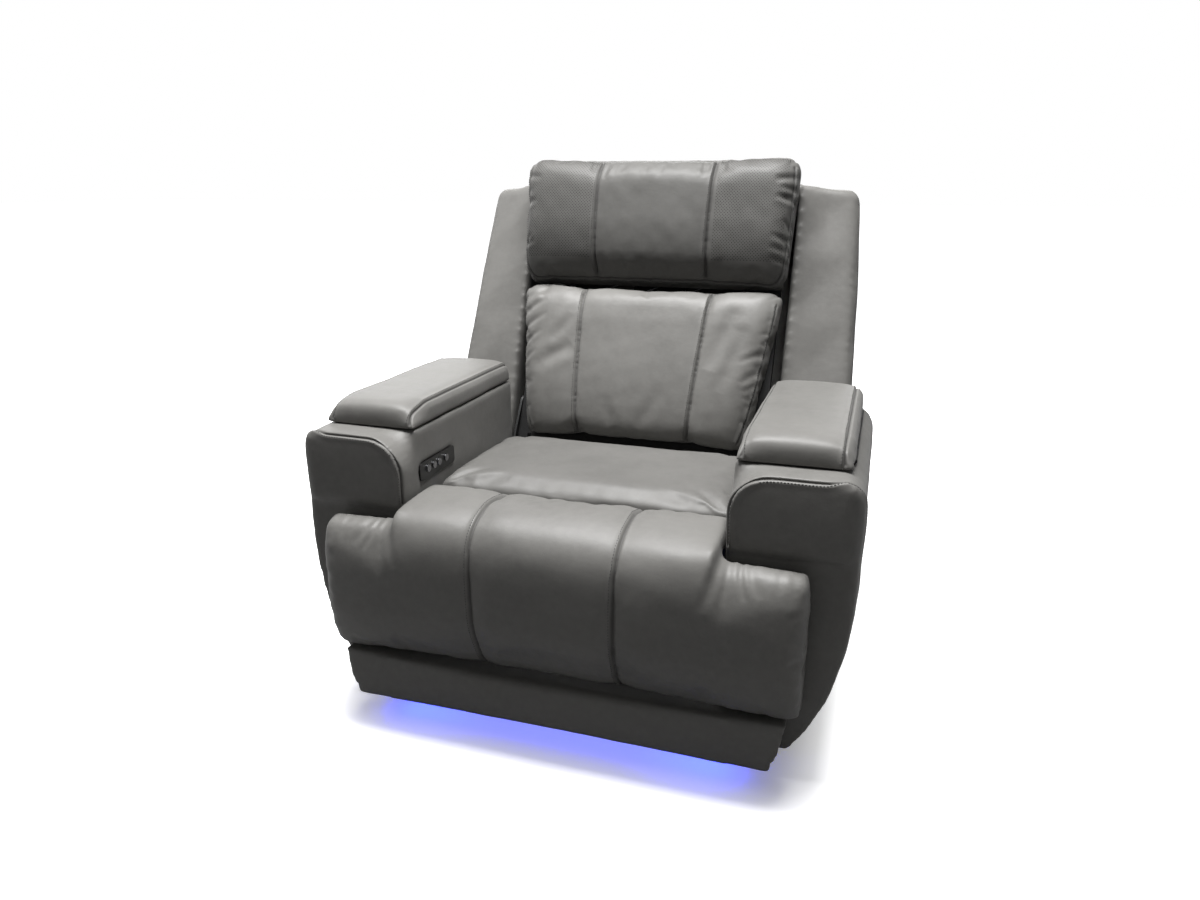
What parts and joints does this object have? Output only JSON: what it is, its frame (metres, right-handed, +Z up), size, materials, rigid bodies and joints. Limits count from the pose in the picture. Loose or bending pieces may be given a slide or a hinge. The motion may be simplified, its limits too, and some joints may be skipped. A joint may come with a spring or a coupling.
{
  "type": "cinema recliner seat",
  "caption": "Power cinema recliner with storage arms, winged back, tilting headrest and swing-out T-shaped footrest.",
  "frame": {"origin": "centre of the footprint on the floor", "axes": "+X to the right of someone facing the chair from the front, +Y towards the back, +Z up"},
  "size_m": [1.1, 1.027, 1.1189],
  "materials": {
    "leather": "satin charcoal leather",
    "perforated_leather": "charcoal leather, finely perforated side panels",
    "plywood": "raw",
    "steel": "semi-gloss black",
    "spring_steel": "plain",
    "black_plastic": "matte",
    "control_black": "glossy",
    "button_chrome": "polished",
    "light": "frosted, lit blue"
  },
  "bodies": {
    "base": {"left_arm": "leather", "right_arm": "leather", "left_bin": "black_plastic", "right_bin": "black_plastic", "left_base_rail": "plywood", "right_base_rail": "plywood", "front_rail": "leather", "rear_rail": "plywood", "feet": "black_plastic", "light_strip": "light", "control_plate": "control_black", "power_inlet": "black_plastic", "power_box": "black_plastic", "left_side_plate": "steel", "right_side_plate": "steel", "front_cross_tube": "steel", "rear_cross_tube": "steel", "drive_motor": "black_plastic", "drive_rail": "steel", "seat_left_rail": "steel", "seat_right_rail": "steel", "seat_front_rail": "steel", "seat_rear_rail": "steel", "seat_springs": "spring_steel", "seat_cushion": "leather", "left_lid_hinge": "steel", "right_lid_hinge": "steel"},
    "swing_links": {"left_swing_link": "steel", "right_swing_link": "steel", "torque_tube": "steel"},
    "left_lift": {"left_lift_link": "steel"},
    "right_lift": {"right_lift_link": "steel"},
    "left_guide": {"left_guide_bar": "steel"},
    "right_guide": {"right_guide_bar": "steel"},
    "left_board_link": {"left_board_bar": "steel"},
    "right_board_link": {"right_board_bar": "steel"},
    "footrest": {"footrest_board": "plywood", "footrest_pad": "leather", "left_footrest_bracket": "steel", "right_footrest_bracket": "steel"},
    "carriage": {"drive_carriage": "black_plastic"},
    "back": {"back_left_post": "steel", "back_right_post": "steel", "back_top_rail": "steel", "back_low_rail": "steel", "back_shell": "leather", "back_springs": "spring_steel", "back_cushion": "leather", "headrest_motor": "black_plastic"},
    "headrest": {"headrest_board": "plywood", "headrest_cushion": "perforated_leather"},
    "left_lid": {"left_lid_board": "plywood", "left_lid_pad": "leather"},
    "right_lid": {"right_lid_board": "plywood", "right_lid_pad": "leather"},
    "button_body_1": {"button_1": "button_chrome"},
    "button_body_2": {"button_2": "button_chrome"},
    "button_body_3": {"button_3": "button_chrome"},
    "button_body_4": {"button_4": "button_chrome"}
  },
  "joints": [
    {"name": "footrest_swing", "type": "hinge", "parent": "base", "child": "swing_links", "pos_m": [0, -0.268, 0.386], "axis": [-1, 0, 0], "range_deg": [0, 82]},
    {"name": "left_lift_turn", "type": "hinge", "parent": "swing_links", "child": "left_lift", "pos_m": [0, -0.1555, 0.19114], "axis": [-1, 0, 0], "range_deg": [-82, 0]},
    {"name": "right_lift_turn", "type": "hinge", "parent": "swing_links", "child": "right_lift", "pos_m": [0, -0.1555, 0.19114], "axis": [-1, 0, 0], "range_deg": [-82, 0]},
    {"name": "left_guide_turn", "type": "hinge", "parent": "base", "child": "left_guide", "pos_m": [0, -0.213, 0.386], "axis": [-1, 0, 0], "range_deg": [0, 82]},
    {"name": "right_guide_turn", "type": "hinge", "parent": "base", "child": "right_guide", "pos_m": [0, -0.213, 0.386], "axis": [-1, 0, 0], "range_deg": [0, 82]},
    {"name": "left_board_bar_turn", "type": "hinge", "parent": "swing_links", "child": "left_board_link", "pos_m": [0, -0.1345, 0.15477], "axis": [-1, 0, 0], "range_deg": [-82, 0]},
    {"name": "right_board_bar_turn", "type": "hinge", "parent": "swing_links", "child": "right_board_link", "pos_m": [0, -0.1345, 0.15477], "axis": [-1, 0, 0], "range_deg": [-82, 0]},
    {"name": "footrest_turn", "type": "hinge", "parent": "left_lift", "child": "footrest", "pos_m": [0, -0.3855, 0.29914], "axis": [-1, 0, 0], "range_deg": [0, 82]},
    {"name": "drive_travel", "type": "slide", "parent": "base", "child": "carriage", "axis": [0, -1, 0], "range_m": [0, 0.11593]},
    {"name": "back_recline", "type": "hinge", "parent": "base", "child": "back", "pos_m": [0, 0.0865, 0.4], "axis": [-1, 0, 0], "range_deg": [0, 40]},
    {"name": "headrest_tilt", "type": "hinge", "parent": "back", "child": "headrest", "pos_m": [0, 0.27545, 0.86345], "axis": [1, 0, 0], "range_deg": [0, 22]},
    {"name": "left_lid_open", "type": "hinge", "parent": "base", "child": "left_lid", "pos_m": [-0.519, -0.127, 0.5995], "axis": [0, -1, 0], "range_deg": [0, 90]},
    {"name": "right_lid_open", "type": "hinge", "parent": "base", "child": "right_lid", "pos_m": [0.519, -0.127, 0.5995], "axis": [0, 1, 0], "range_deg": [0, 90]},
    {"name": "button_1_press", "type": "slide", "parent": "base", "child": "button_body_1", "axis": [-1, 0, 0], "range_m": [0, 0.0015], "stiffness_N_per_m": 400},
    {"name": "button_2_press", "type": "slide", "parent": "base", "child": "button_body_2", "axis": [-1, 0, 0], "range_m": [0, 0.0015], "stiffness_N_per_m": 400},
    {"name": "button_3_press", "type": "slide", "parent": "base", "child": "button_body_3", "axis": [-1, 0, 0], "range_m": [0, 0.0015], "stiffness_N_per_m": 400},
    {"name": "button_4_press", "type": "slide", "parent": "base", "child": "button_body_4", "axis": [-1, 0, 0], "range_m": [0, 0.0015], "stiffness_N_per_m": 400}
  ],
  "couplings": [
    {"joint": "left_lift_turn", "follows": "footrest_swing", "ratio": -1},
    {"joint": "right_lift_turn", "follows": "footrest_swing", "ratio": -1},
    {"joint": "left_guide_turn", "follows": "footrest_swing", "ratio": 1},
    {"joint": "right_guide_turn", "follows": "footrest_swing", "ratio": 1},
    {"joint": "left_board_bar_turn", "follows": "footrest_swing", "ratio": -1},
    {"joint": "right_board_bar_turn", "follows": "footrest_swing", "ratio": -1},
    {"joint": "footrest_turn", "follows": "footrest_swing", "ratio": 1},
    {"joint": "drive_travel", "follows": "footrest_swing", "m_per_rad": 0.081}
  ]
}
